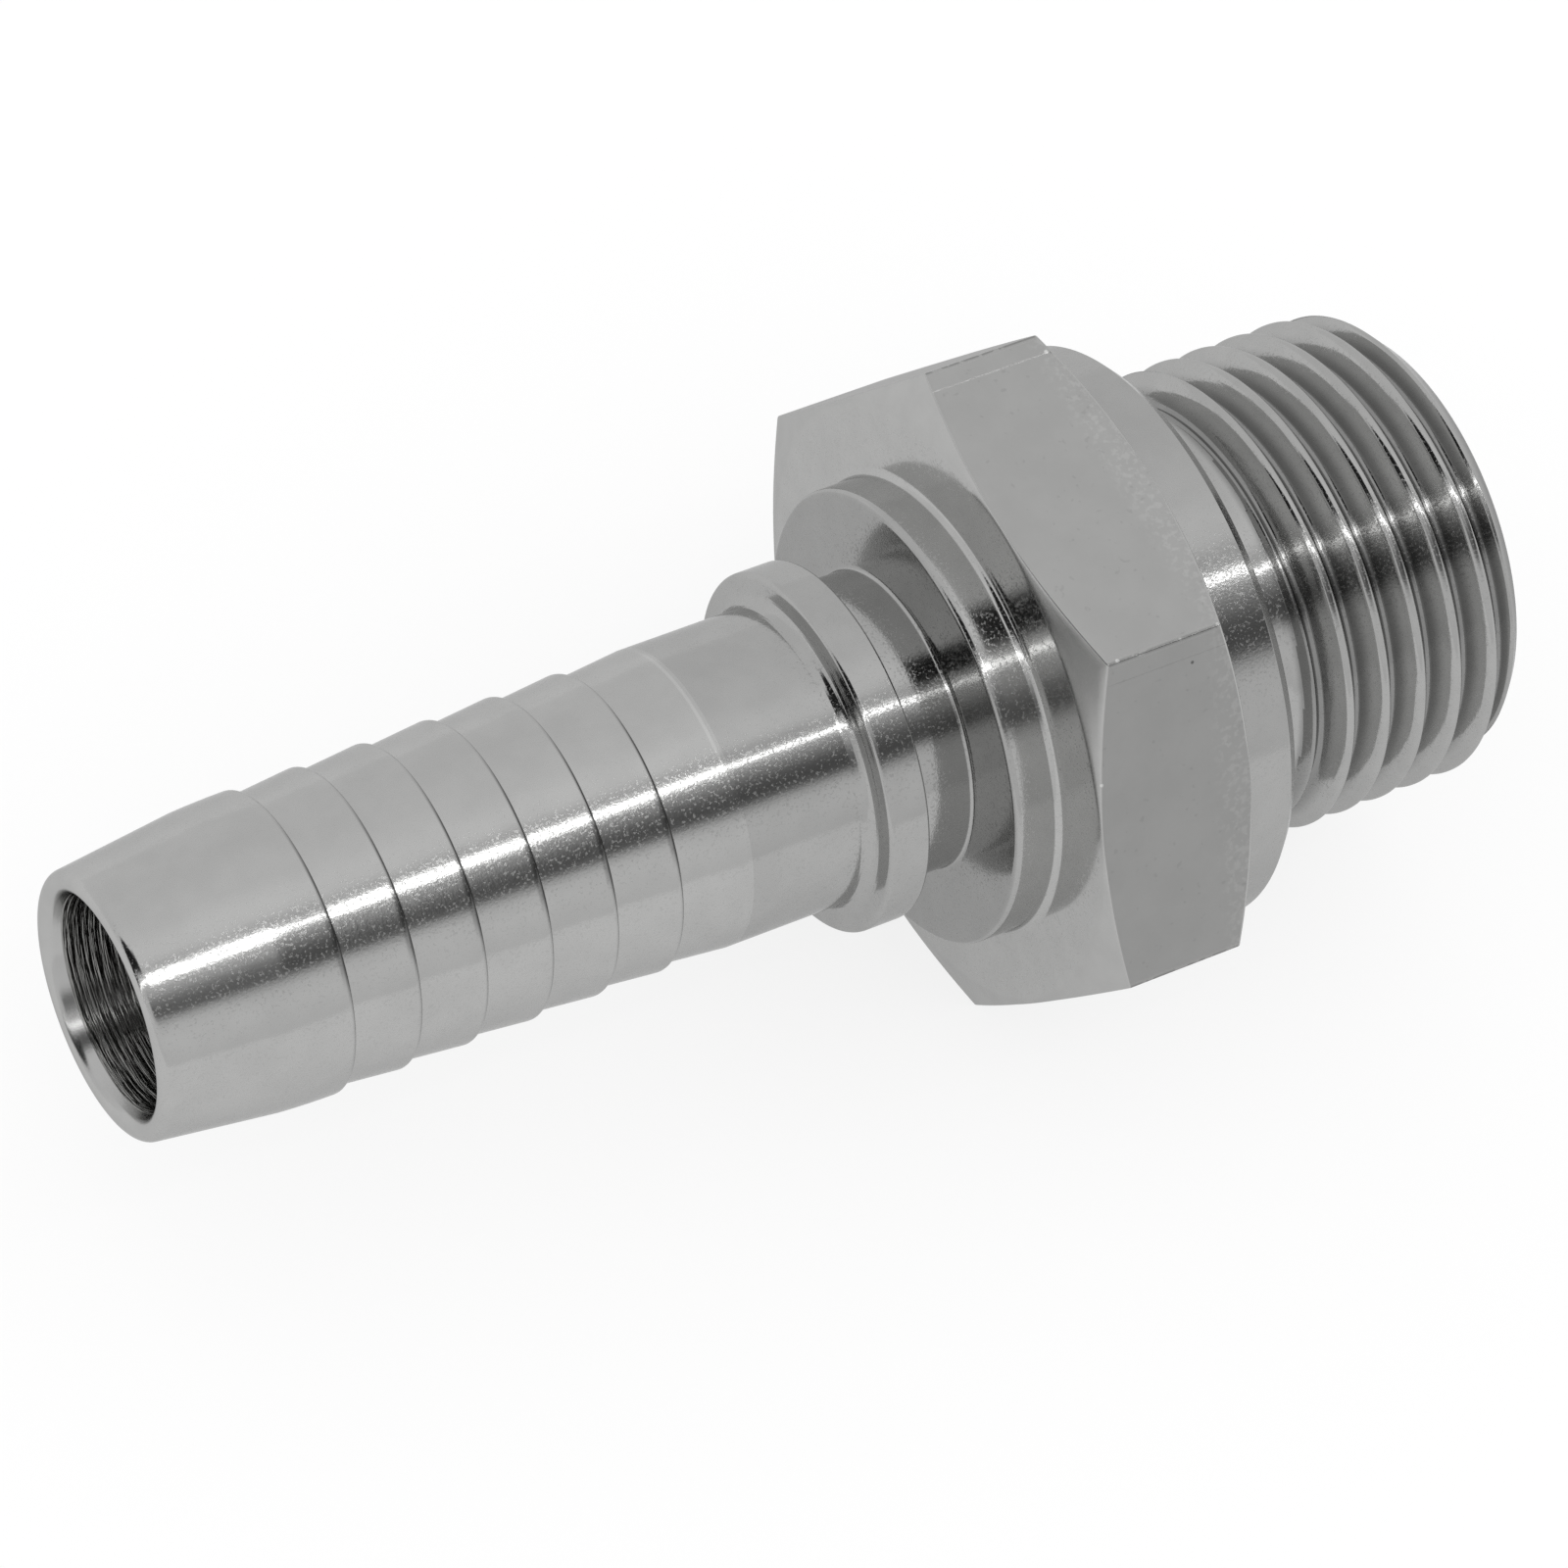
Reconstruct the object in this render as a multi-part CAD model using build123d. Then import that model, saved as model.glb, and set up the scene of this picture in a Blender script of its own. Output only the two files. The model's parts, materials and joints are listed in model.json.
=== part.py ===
from build123d import *
import os
from math import ceil, cos, pi, radians, sin, tan

# Hose barb tail: one piece turned from hexagonal stainless bar, in millimetres.
# A hose is pushed over the barbed tail, a ferrule locks in the groove behind the collar,
# and the threaded end screws into a port.
# The axis is X, from the hose end (-X) to the threaded end (+X), and two hexagon flats face
# up and down. The origin is on the axis, in the plane of the face that stops on the port.

# Bore through the piece, and its countersink at the nose
bore_diameter = 9.4
countersink_half_angle = 25.0

# Nose, where the hose goes on
nose_wall = 1.17
lip_radius = 0.5
nose_taper_length = 5.7
nose_crown_height = 0.1

# Barbed tail
barb_diameter = 13.2
barb_depth = 0.29
first_barb_length = 8.4
barb_pitch = 3.05
barb_count = 6
stem_length = 5.95

# Collar and the groove that the ferrule locks in
collar_diameter = 16.0
collar_width = 1.9
collar_front_fillet = 0.6
edge_break = 0.12
groove_diameter = 13.3
groove_width = 2.9
groove_fillet = 0.2

# Shoulder in front of the hexagon
shoulder_diameter = 20.3
shoulder_width = 2.1
shoulder_edge_round = 0.25
shoulder_root_fillet = 0.35

# Hexagon, for a 27 mm spanner, and how far its end faces stay inside the flats
across_flats = 27.0
hexagon_length = 7.3
hexagon_front_chamfer_angle = 21.0
hexagon_rear_chamfer_angle = 26.0
hexagon_face_inset = 0.05

# Port side collar, whose end face stops on the port, and how far it stays inside the flats
port_collar_inset = 0.63
port_collar_width = 2.9
port_collar_chamfer = 0.55

# Parallel pipe thread G 1/2: 14 turns to the inch, 55 degree flanks
thread_major_diameter = 20.955
thread_pitch = 1.814
flank_angle = 55.0
thread_root_ratio = 0.137329
threaded_end_length = 13.3
thread_chamfer_angle = 45.0
end_chamfer_overcut = 0.016
crest_x = 3.9
crest_turn = 26.07

# Relief groove behind the thread, a little below its root
relief_clearance = 0.066
relief_width = 2.4
relief_fillet = 2.0
fillet_share_of_wall = 0.85

# Sealing cone in the threaded end, inside a flat rim
seat_half_angle = 30.0
end_rim_width = 1.05

# Stations along the axis
port_face_x = 0.0
hexagon_rear_x = port_face_x - port_collar_width
hexagon_front_x = hexagon_rear_x - hexagon_length
shoulder_front_x = hexagon_front_x - shoulder_width
collar_rear_x = shoulder_front_x - groove_width
collar_front_x = collar_rear_x - collar_width
stem_x = collar_front_x - stem_length
first_edge_x = stem_x - barb_count * barb_pitch
nose_x = first_edge_x - first_barb_length
end_x = port_face_x + threaded_end_length

# Whitworth form, worked out from the pitch
triangle_height = thread_pitch / (2 * tan(radians(flank_angle / 2)))
thread_depth = triangle_height * 2 / 3
thread_root_radius = thread_pitch * thread_root_ratio
cutter_clearance = 0.2

# Radii from the axis
bore_r = bore_diameter / 2
nose_r = bore_r + nose_wall
barb_r = barb_diameter / 2
hexagon_face_r = across_flats / 2 - hexagon_face_inset
corner_r = across_flats / 2 / cos(pi / 6)
port_collar_r = across_flats / 2 - port_collar_inset
major_r = thread_major_diameter / 2
end_face_r = major_r - thread_depth - end_chamfer_overcut
relief_r = major_r - thread_depth - relief_clearance
port_face_r = port_collar_r - port_collar_chamfer
bar_allowance = 2.0


def nose_and_barbs():
    """Outline from the lip, over the barbs, to the plain stem, as (lines, start point)."""
    lip_x = nose_x + lip_radius
    lip_r = nose_r - lip_radius
    crown_x = nose_x + nose_taper_length
    crown_r = barb_r - nose_crown_height
    slope = (crown_r - nose_r) / (crown_x - lip_x)
    lip_top = (lip_x - lip_radius * slope, nose_r)
    sink = radians(countersink_half_angle)
    lip_inside = (lip_x - lip_radius * sin(sink), lip_r - lip_radius * cos(sink))
    lip = ThreePointArc(lip_inside, (nose_x, lip_r), lip_top)
    taper = Line(lip_top, (crown_x, crown_r))
    crown_middle = ((crown_x + first_edge_x) / 2, barb_r - nose_crown_height / 4)
    crown = ThreePointArc((crown_x, crown_r), crown_middle, (first_edge_x, barb_r))
    saw = [(first_edge_x, barb_r)]
    for barb in range(barb_count):
        edge_x = first_edge_x + barb * barb_pitch
        saw += [(edge_x, barb_r - barb_depth), (edge_x + barb_pitch, barb_r)]
    return [lip, taper, crown, Polyline(saw)], lip_inside, saw[-1]


def collar_to_port(stem_start):
    """Outline from the plain stem to the end face, with its fillets."""
    collar_r = collar_diameter / 2
    groove_r = groove_diameter / 2
    shoulder_r = shoulder_diameter / 2
    band_r = corner_r + bar_allowance
    chamfer_height = band_r - hexagon_face_r
    front_run = chamfer_height * tan(radians(hexagon_front_chamfer_angle))
    rear_run = chamfer_height * tan(radians(hexagon_rear_chamfer_angle))
    thread_run_in = (major_r - relief_r) / tan(radians(thread_chamfer_angle))
    thread_run_out = (major_r - end_face_r) / tan(radians(thread_chamfer_angle))
    relief_end_x = port_face_x + relief_width
    relief_wall = min(port_face_r - relief_r, relief_width)
    corners = [
        (stem_start, 0),
        ((collar_front_x, barb_r), collar_front_fillet),
        ((collar_front_x, collar_r), edge_break),
        ((collar_rear_x, collar_r), edge_break),
        ((collar_rear_x, groove_r), groove_fillet),
        ((shoulder_front_x, groove_r), groove_fillet),
        ((shoulder_front_x, shoulder_r), shoulder_edge_round),
        ((hexagon_front_x, shoulder_r), shoulder_root_fillet),
        ((hexagon_front_x, hexagon_face_r), 0),
        ((hexagon_front_x + front_run, band_r), 0),
        ((hexagon_rear_x - rear_run, band_r), 0),
        ((hexagon_rear_x, hexagon_face_r), 0),
        ((hexagon_rear_x, port_collar_r), 0),
        ((port_face_x - port_collar_chamfer, port_collar_r), 0),
        ((port_face_x, port_face_r), 0),
        ((port_face_x, relief_r), min(relief_fillet, fillet_share_of_wall * relief_wall)),
        ((relief_end_x, relief_r), 0),
        ((relief_end_x + thread_run_in, major_r), 0),
        ((end_x - thread_run_out, major_r), 0),
        ((end_x, end_face_r), 0),
    ]
    points = [point for point, _ in corners]
    radii = [radius for _, radius in corners[1:-1]]
    return FilletPolyline(*points, radius=radii), points[-1]


def bore_outline(end_corner, lip_inside):
    """Outline from the end face, down the sealing cone and along the bore to the lip."""
    mouth_r = end_face_r - end_rim_width
    seat_x = end_x - (mouth_r - bore_r) / tan(radians(seat_half_angle))
    sink_run = (lip_inside[1] - bore_r) / tan(radians(countersink_half_angle))
    return Polyline(
        end_corner,
        (end_x, mouth_r),
        (seat_x, bore_r),
        (lip_inside[0] + sink_run, bore_r),
        lip_inside,
    )


def turned_body():
    """Half section turned about the axis; the hexagon is left as a wide round band."""
    tail, lip_inside, stem_start = nose_and_barbs()
    outside, end_corner = collar_to_port(stem_start)
    inside = bore_outline(end_corner, lip_inside)
    outline = Curve() + tail + outside + inside
    return revolve(Plane.XZ * make_face(outline), Axis.X)


def hexagon_bar():
    """Bar stock that the piece is turned from, longer than the piece at both ends."""
    section = Plane.YZ * RegularPolygon(across_flats / 2, 6, major_radius=False)
    start_x = nose_x - bar_allowance
    return Pos(start_x, 0, 0) * extrude(section, end_x + bar_allowance - start_x)


def thread_path(start_x, radius):
    """Right-hand helix along Z, long enough to leave the end face, as joined half turns."""
    half_pitch = thread_pitch / 2
    half_turn = Helix(thread_pitch, half_pitch, radius)
    count = ceil((end_x - start_x) / half_pitch) + 2
    turns = [Pos(0, 0, i * half_pitch) * Rotation(0, 0, 180 * i) * half_turn for i in range(count)]
    return Wire([turn.edge() for turn in turns])


def thread_groove():
    """Solid that the thread tool removes: a V with a rounded root, carried along a helix.

    It starts in the relief groove's free space and ends past the end face.
    """
    outer_r = major_r + cutter_clearance
    apex_r = major_r - thread_depth - triangle_height / 6
    half_width = (outer_r - apex_r) * tan(radians(flank_angle / 2))
    vee = FilletPolyline(
        (outer_r, -half_width), (apex_r, 0), (outer_r, half_width), radius=thread_root_radius
    )
    mouth = Line((outer_r, half_width), (outer_r, -half_width))
    section = Plane.XZ * make_face(Curve() + [vee, mouth])
    start_x = port_face_x + relief_fillet
    path = thread_path(start_x, major_r)
    cutter = Rotation(0, 90, 0) * sweep(section, path=path, is_frenet=True)
    groove_x = crest_x - thread_pitch / 2
    start_turn = crest_turn + 360 * (start_x - groove_x) / thread_pitch
    return Pos(start_x, 0, 0) * Rotation(start_turn - 180, 0, 0) * cutter


hose_tail = (turned_body() & hexagon_bar()) - thread_groove()

os.makedirs("parts", exist_ok=True)
export_step(hose_tail, "parts/hose_tail.step")
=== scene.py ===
import json
import bmesh
import bpy
import numpy as np
from mathutils import Matrix, Vector


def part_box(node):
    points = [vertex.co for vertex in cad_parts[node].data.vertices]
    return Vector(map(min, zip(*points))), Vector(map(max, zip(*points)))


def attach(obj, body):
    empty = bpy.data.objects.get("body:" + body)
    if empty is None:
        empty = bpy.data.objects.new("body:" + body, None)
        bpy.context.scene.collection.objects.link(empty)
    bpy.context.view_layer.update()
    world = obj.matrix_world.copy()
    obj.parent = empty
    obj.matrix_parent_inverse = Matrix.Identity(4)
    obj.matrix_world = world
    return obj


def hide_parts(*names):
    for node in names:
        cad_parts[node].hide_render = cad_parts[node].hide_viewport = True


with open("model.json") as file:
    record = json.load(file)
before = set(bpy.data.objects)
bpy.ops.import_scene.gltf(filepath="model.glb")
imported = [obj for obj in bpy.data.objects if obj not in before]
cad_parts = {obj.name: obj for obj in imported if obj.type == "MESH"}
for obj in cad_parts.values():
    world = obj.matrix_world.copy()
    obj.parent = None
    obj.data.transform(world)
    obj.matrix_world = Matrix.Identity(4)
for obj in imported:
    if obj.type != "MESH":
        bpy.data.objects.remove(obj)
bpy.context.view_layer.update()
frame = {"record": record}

mm = 0.001
mounts = {mount["name"]: mount for mount in frame["record"]["mounts"]}
lowCorner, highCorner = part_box("hose_tail")

# Everything is a surface turned about X. Angles a run from +Z towards -Y, right-handed about +X,
# so a point is (x, -r sin a, r cos a). Lengths are in millimetres until the mesh is written.

nose = {
    "tipX": lowCorner[0] / mm,
    "boreRadius": mounts["through_bore"]["dims"]["r_mm"],
    "wall": 1.17,
    "lipRadius": 0.5,
    "lipPoints": 15,
    "sinkHalfAngle": 25.0,
    "sinkRound": 2.0,
    "taperLength": 5.7,
    "crownHeight": 0.1,
    "crownSteps": 6,
}

barbs = {
    "radius": mounts["hose_stem"]["dims"]["r_mm"],
    "depth": 0.29,
    "firstEdge": 8.4,
    "pitch": 3.05,
    "count": 6,
    "crestRound": 0.22,
    "rootRound": 0.03,
}

collar = {
    "frontX": -17.1,
    "width": 1.9,
    "radius": 8.0,
    "frontFillet": 0.6,
    "frontEdgeRound": 0.25,
    "edgeBreak": 0.12,
    "grooveRadius": 6.65,
    "grooveWidth": 2.9,
    "grooveFillet": 0.2,
}

shoulder = {
    "frontX": -12.3,
    "radius": 10.15,
    "edgeRound": 0.25,
    "rootFillet": 0.35,
}

hexagon = {
    "flatRadius": highCorner[2] / mm,
    # The flat end faces stop just inside the flats
    "faceRadius": highCorner[2] / mm - 0.05,
    "frontX": -10.2,
    "rearX": -2.9,
    "frontChamferAngle": 21.0,
    "rearChamferAngle": 26.0,
    "cornerRound": 0.12,
    # Break of the chamfer's edge and blend of its foot, both at most this share of its height
    "edgeBreak": 0.08,
    "faceBlend": 0.12,
    "leastBlend": 0.01,
    "shareOfRise": 0.4,
    "faceBlendWidth": 0.5,
    # Rows of the blend, places of the rows on the cone, rows of the edge and of the flat
    "blendRows": 5,
    "conePlaces": (0.12, 0.3, 0.5, 0.75),
    "edgeRows": 5,
    "flatRows": 14,
}

portCollar = {
    "radius": 12.87,
    "rootFillet": 0.03,
    "chamfer": 0.55,
    "edgeBreak": 0.06,
    "faceX": 0.0,
}

thread = {
    "majorRadius": 10.4775,
    "pitch": 1.814,
    "flankAngle": 55.0,
    "rootRatio": 0.137329,
    "reliefRadius": 9.25,
    "reliefEnd": 2.4,
    "reliefFillet": 2.0,
    "crestX": 3.9,
    "crestTurn": 26.07,
    "rowsPerPitch": 20,
    "burrRound": 0.015,
}

endFace = {
    "x": highCorner[0] / mm,
    "radius": 9.3,
    "rimWidth": 1.05,
    "seatHalfAngle": 30.0,
    "seatRound": 0.2,
    "edgeBreak": 0.06,
}

turning = {
    "columns": 180,
    # Columns beside a hexagon corner, in half widths of its rounding
    "cornerColumns": (-3.0, -1.0, -0.5, 0.5, 1.0, 3.0),
    "support": 0.045,
    "arcStep": 15.0,
    "straightHalfAngle": 89.0,
    # The bore's finish goes up to this far outside its radius
    "boreMargin": 0.1,
    # In metres: points closer than the first are one, and edges shorter than the second are dropped
    "mergeDistance": 1e-7,
    "shortEdge": 1e-8,
}


def tanDeg(angle):
    return np.tan(np.radians(angle))


def roundedOutline(corners):
    # Walks a list of (x, r, fillet) corners. A corner with a fillet becomes an arc tangent to both
    # sides, and every straight run gets a point near each end, so that shading stays on the arc.
    points = [np.array(corners[0][:2], float)]
    for before, corner, after in zip(corners, corners[1:], corners[2:]):
        here = np.array(corner[:2], float)
        toBefore = np.array(before[:2]) - here
        toAfter = np.array(after[:2]) - here
        toBefore = toBefore / np.linalg.norm(toBefore)
        toAfter = toAfter / np.linalg.norm(toAfter)
        half = np.arccos(np.clip(toBefore @ toAfter, -1, 1)) / 2
        radius = corner[2]
        if radius == 0 or half > np.radians(turning["straightHalfAngle"]):
            points.append(here)
            continue
        reach = radius / np.tan(half)
        middle = (toBefore + toAfter) / np.linalg.norm(toBefore + toAfter)
        centre = here + middle * radius / np.sin(half)
        sweep = np.pi - 2 * half
        steps = max(2, int(np.ceil(np.degrees(sweep) / turning["arcStep"])))
        startArm = here + toBefore * reach - centre
        endArm = here + toAfter * reach - centre
        part = np.linspace(0, 1, steps + 1)[:, None]
        arc = (np.sin((1 - part) * sweep) * startArm + np.sin(part * sweep) * endArm) / np.sin(sweep)
        points.extend(centre + arc)
    points.append(np.array(corners[-1][:2], float))
    return withSupports(np.array(points))


def withSupports(points):
    # A run longer than three supports gets a point at one support from each end.
    runs = np.diff(points, axis=0)
    lengths = np.linalg.norm(runs, axis=1)
    rows = [points[:1]]
    for start, run, length in zip(points, runs, lengths):
        if length > 3 * turning["support"]:
            share = turning["support"] / length
            rows.append(start + run * np.array([[share], [1 - share]]))
        rows.append((start + run)[None])
    return np.concatenate(rows)


def hexCornerCentre():
    # Distance from the axis to the centre of a corner's rounding.
    return (hexagon["flatRadius"] - hexagon["cornerRound"]) / np.cos(np.pi / 6)


def columnAngles():
    # Even columns, with a close group round each hexagon corner for its small rounding.
    even = np.arange(turning["columns"] + 1) * 360.0 / turning["columns"]
    cornerAngle = np.arange(30, 360, 60)
    reach = np.degrees(np.arcsin(hexagon["cornerRound"] / 2 / hexCornerCentre()))
    offsets = np.array(turning["cornerColumns"]) * reach
    close = (cornerAngle[:, None] + offsets).ravel()
    return np.unique(np.concatenate([even, close]))


def hexRadius(a):
    # Distance to a flat is flatRadius / cos of the angle from its middle; within a small angle of a
    # corner it is the far side of a circle that touches both flats.
    fromFlat = (a + 30) % 60 - 30
    flat = hexagon["flatRadius"] / np.cos(np.radians(fromFlat))
    fromCorner = np.radians(30 - np.abs(fromFlat))
    centre = hexCornerCentre()
    inside = np.maximum(hexagon["cornerRound"] ** 2 - (centre * np.sin(fromCorner)) ** 2, 0)
    arc = centre * np.cos(fromCorner) + np.sqrt(inside)
    return np.where(centre * np.sin(fromCorner) < hexagon["cornerRound"] / 2, arc, flat)


def tailOutline():
    # From the bore, over the lip and the barbs, to the shoulder and the hexagon's front face.
    sink = np.radians(nose["sinkHalfAngle"])
    lipX = nose["tipX"] + nose["lipRadius"]
    lipR = nose["boreRadius"] + nose["wall"] - nose["lipRadius"]
    crownX = nose["tipX"] + nose["taperLength"]
    crownR = barbs["radius"] - nose["crownHeight"]
    slope = (crownR - lipR - nose["lipRadius"]) / (crownX - lipX)
    turn = np.linspace(sink - np.pi / 2, np.pi / 2 - slope, nose["lipPoints"])
    lip = np.stack([lipX - nose["lipRadius"] * np.cos(turn), lipR + nose["lipRadius"] * np.sin(turn)], 1)
    edgeX = nose["tipX"] + barbs["firstEdge"]
    ease = np.linspace(0, 1, nose["crownSteps"] + 1)[1:-1]
    crown = np.stack([
        crownX + (edgeX - crownX) * ease,
        crownR + nose["crownHeight"] * (1 - (1 - ease) ** 2),
    ], 1)
    front = withSupports(np.concatenate([lip, [(crownX, crownR)]]))
    saw = [(crown[-1][0], crown[-1][1], 0), (edgeX, barbs["radius"], barbs["crestRound"])]
    for barb in range(barbs["count"]):
        stepX = edgeX + barb * barbs["pitch"]
        saw.append((stepX, barbs["radius"] - barbs["depth"], barbs["rootRound"]))
        saw.append((stepX + barbs["pitch"], barbs["radius"], barbs["crestRound"]))
    rearX = collar["frontX"] + collar["width"]
    shoulderX = rearX + collar["grooveWidth"]
    body = saw + [
        (collar["frontX"], barbs["radius"], collar["frontFillet"]),
        (collar["frontX"], collar["radius"], collar["frontEdgeRound"]),
        (rearX, collar["radius"], collar["edgeBreak"]),
        (rearX, collar["grooveRadius"], collar["grooveFillet"]),
        (shoulderX, collar["grooveRadius"], collar["grooveFillet"]),
        (shoulderX, shoulder["radius"], shoulder["edgeRound"]),
        (hexagon["frontX"], shoulder["radius"], shoulder["rootFillet"]),
        (hexagon["frontX"], hexagon["faceRadius"] - hexagon["faceBlendWidth"], 0),
    ]
    return np.concatenate([front, crown[:-1], roundedOutline(body)])


def coneRun(aboveFace, rise, chamferAngle):
    # How far the cone leans back at a height h above the face radius: b ln(1 + e^(h/b)) tan(angle),
    # a straight cone blended softly into the face. b shrinks where the cone runs out on a flat.
    blend = np.clip(hexagon["shareOfRise"] * rise, hexagon["leastBlend"], hexagon["faceBlend"])
    return blend * np.logaddexp(0, aboveFace / blend) * tanDeg(chamferAngle)


def coneAndEdge(a, chamferAngle):
    # The blend at the face, then the cone. The cone meets the flat where the hexagon's radius is
    # reached, so the edge is the real hyperbola. A short parabola rounds it.
    rise = hexRadius(a) - hexagon["faceRadius"]
    breakSize = np.minimum(hexagon["edgeBreak"], hexagon["shareOfRise"] * rise)
    lowPlaces = np.linspace(1, 0, hexagon["blendRows"] + 1)[1:, None]
    low = -hexagon["faceBlendWidth"] * lowPlaces * np.ones_like(rise)
    cone = (rise - breakSize) * np.array(hexagon["conePlaces"])[:, None]
    turn = np.linspace(0, 1, hexagon["edgeRows"])[:, None]
    edge = rise - breakSize * (1 - turn) ** 2
    height = np.concatenate([low, cone, edge])
    back = np.concatenate([np.zeros_like(low), np.zeros_like(cone), breakSize * turn**2])
    return coneRun(height, rise, chamferAngle) + back, hexagon["faceRadius"] + height


def hexagonRows(a):
    # Front cone, rounded edge, flat, rounded edge, rear cone. The last two values say which rows of
    # quads have the flat's finish: the first of them, and how many there are.
    frontRun, frontR = coneAndEdge(a, hexagon["frontChamferAngle"])
    rearRun, rearR = coneAndEdge(a, hexagon["rearChamferAngle"])
    frontX = hexagon["frontX"] + frontRun
    rearX = (hexagon["rearX"] - rearRun)[::-1]
    along = np.linspace(0, 1, hexagon["flatRows"] + 2)[1:-1, None]
    flatX = frontX[-1] + (rearX[0] - frontX[-1]) * along
    flatR = np.broadcast_to(hexRadius(a), flatX.shape)
    return (
        np.concatenate([frontX, flatX, rearX]),
        np.concatenate([frontR, flatR, rearR[::-1]]),
        len(frontX) - 2,
        len(flatX) + 2,
    )


def portOutline():
    return roundedOutline([
        (hexagon["rearX"], hexagon["faceRadius"] - hexagon["faceBlendWidth"], 0),
        (hexagon["rearX"], portCollar["radius"], portCollar["rootFillet"]),
        (portCollar["faceX"] - portCollar["chamfer"], portCollar["radius"], portCollar["edgeBreak"]),
        (portCollar["faceX"], portCollar["radius"] - portCollar["chamfer"], portCollar["edgeBreak"]),
        (portCollar["faceX"], thread["reliefRadius"], thread["reliefFillet"]),
        (thread["reliefEnd"], thread["reliefRadius"], 0),
    ])[:-1]


def softMin(first, second, size):
    # The lower of two heights, with the crease between them rounded by about size:
    # -s ln(e^(-first/s) + e^(-second/s)).
    return -size * np.logaddexp(-first / size, -second / size)


def threadHeight(fromCrest):
    # Whitworth form: an arc at the crest, a straight flank, and the same arc upside down at the root.
    pitch = thread["pitch"]
    halfFlank = np.radians(thread["flankAngle"] / 2)
    roundR = pitch * thread["rootRatio"]
    depth = pitch / np.tan(halfFlank) / 3
    t = np.abs((fromCrest + pitch / 2) % pitch - pitch / 2)
    arcEnd = roundR * np.cos(halfFlank)
    crest = -roundR + np.sqrt(np.maximum(roundR**2 - t**2, 0))
    root = -depth + roundR - np.sqrt(np.maximum(roundR**2 - (pitch / 2 - t) ** 2, 0))
    flank = -roundR * (1 - np.sin(halfFlank)) - (t - arcEnd) / np.tan(halfFlank)
    belowFlank = np.where(t > pitch / 2 - arcEnd, root, flank)
    return thread["majorRadius"] + np.where(t < arcEnd, crest, belowFlank)


def threadRows(a):
    # Rows follow the helix, x = start + pitch a / 360, so each crest and root is one unbroken row.
    # Beyond the relief and the end face they are clipped to the end circles and merge there.
    pitch = thread["pitch"]
    crestAtZero = thread["crestX"] - pitch * thread["crestTurn"] / 360
    roundR = pitch * thread["rootRatio"]
    arcEnd = roundR * np.cos(np.radians(thread["flankAngle"] / 2))
    quarter = thread["rowsPerPitch"] // 4
    crest = np.linspace(-arcEnd, arcEnd, quarter, endpoint=False)
    down = np.linspace(arcEnd, pitch / 2 - arcEnd, quarter, endpoint=False)
    root = np.linspace(pitch / 2 - arcEnd, pitch / 2 + arcEnd, quarter, endpoint=False)
    up = np.linspace(pitch / 2 + arcEnd, pitch - arcEnd, quarter, endpoint=False)
    phases = np.concatenate([crest, down, root, up])
    firstTurn = int(np.floor((thread["reliefEnd"] - crestAtZero) / pitch)) - 2
    lastTurn = int(np.ceil((endFace["x"] - crestAtZero) / pitch)) + 1
    turns = np.arange(firstTurn, lastTurn + 1)
    base = (crestAtZero + pitch * turns[:, None] + phases).ravel()
    x = np.clip(base[:, None] + pitch * a / 360, thread["reliefEnd"], endFace["x"])
    fromCrest = x - crestAtZero - pitch * a / 360
    runIn = thread["reliefRadius"] + (x - thread["reliefEnd"])
    runOut = endFace["radius"] + (endFace["x"] - x)
    r = softMin(threadHeight(fromCrest), np.minimum(runIn, runOut), thread["burrRound"])
    atStart = x <= thread["reliefEnd"]
    atEnd = x >= endFace["x"]
    r = np.where(atStart, thread["reliefRadius"], np.where(atEnd, endFace["radius"], r))
    return x, r


def boreOutline():
    # From the end face's rim, down the sealing cone and along the bore to the lip.
    mouthR = endFace["radius"] - endFace["rimWidth"]
    seatX = endFace["x"] - (mouthR - nose["boreRadius"]) / tanDeg(endFace["seatHalfAngle"])
    sink = np.radians(nose["sinkHalfAngle"])
    insideX = nose["tipX"] + nose["lipRadius"] * (1 - np.sin(sink))
    insideR = nose["boreRadius"] + nose["wall"] - nose["lipRadius"] * (1 + np.cos(sink))
    sinkX = insideX + (insideR - nose["boreRadius"]) / np.tan(sink)
    return roundedOutline([
        (endFace["x"], endFace["radius"], 0),
        (endFace["x"], mouthR, endFace["edgeBreak"]),
        (seatX, nose["boreRadius"], endFace["seatRound"]),
        (sinkX, nose["boreRadius"], nose["sinkRound"]),
        (insideX, insideR, 0),
    ])[1:-1]


def spread(outline, a):
    # One outline repeated at every angle.
    shape = (len(outline), len(a))
    return np.broadcast_to(outline[:, :1], shape), np.broadcast_to(outline[:, 1:], shape)


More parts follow.
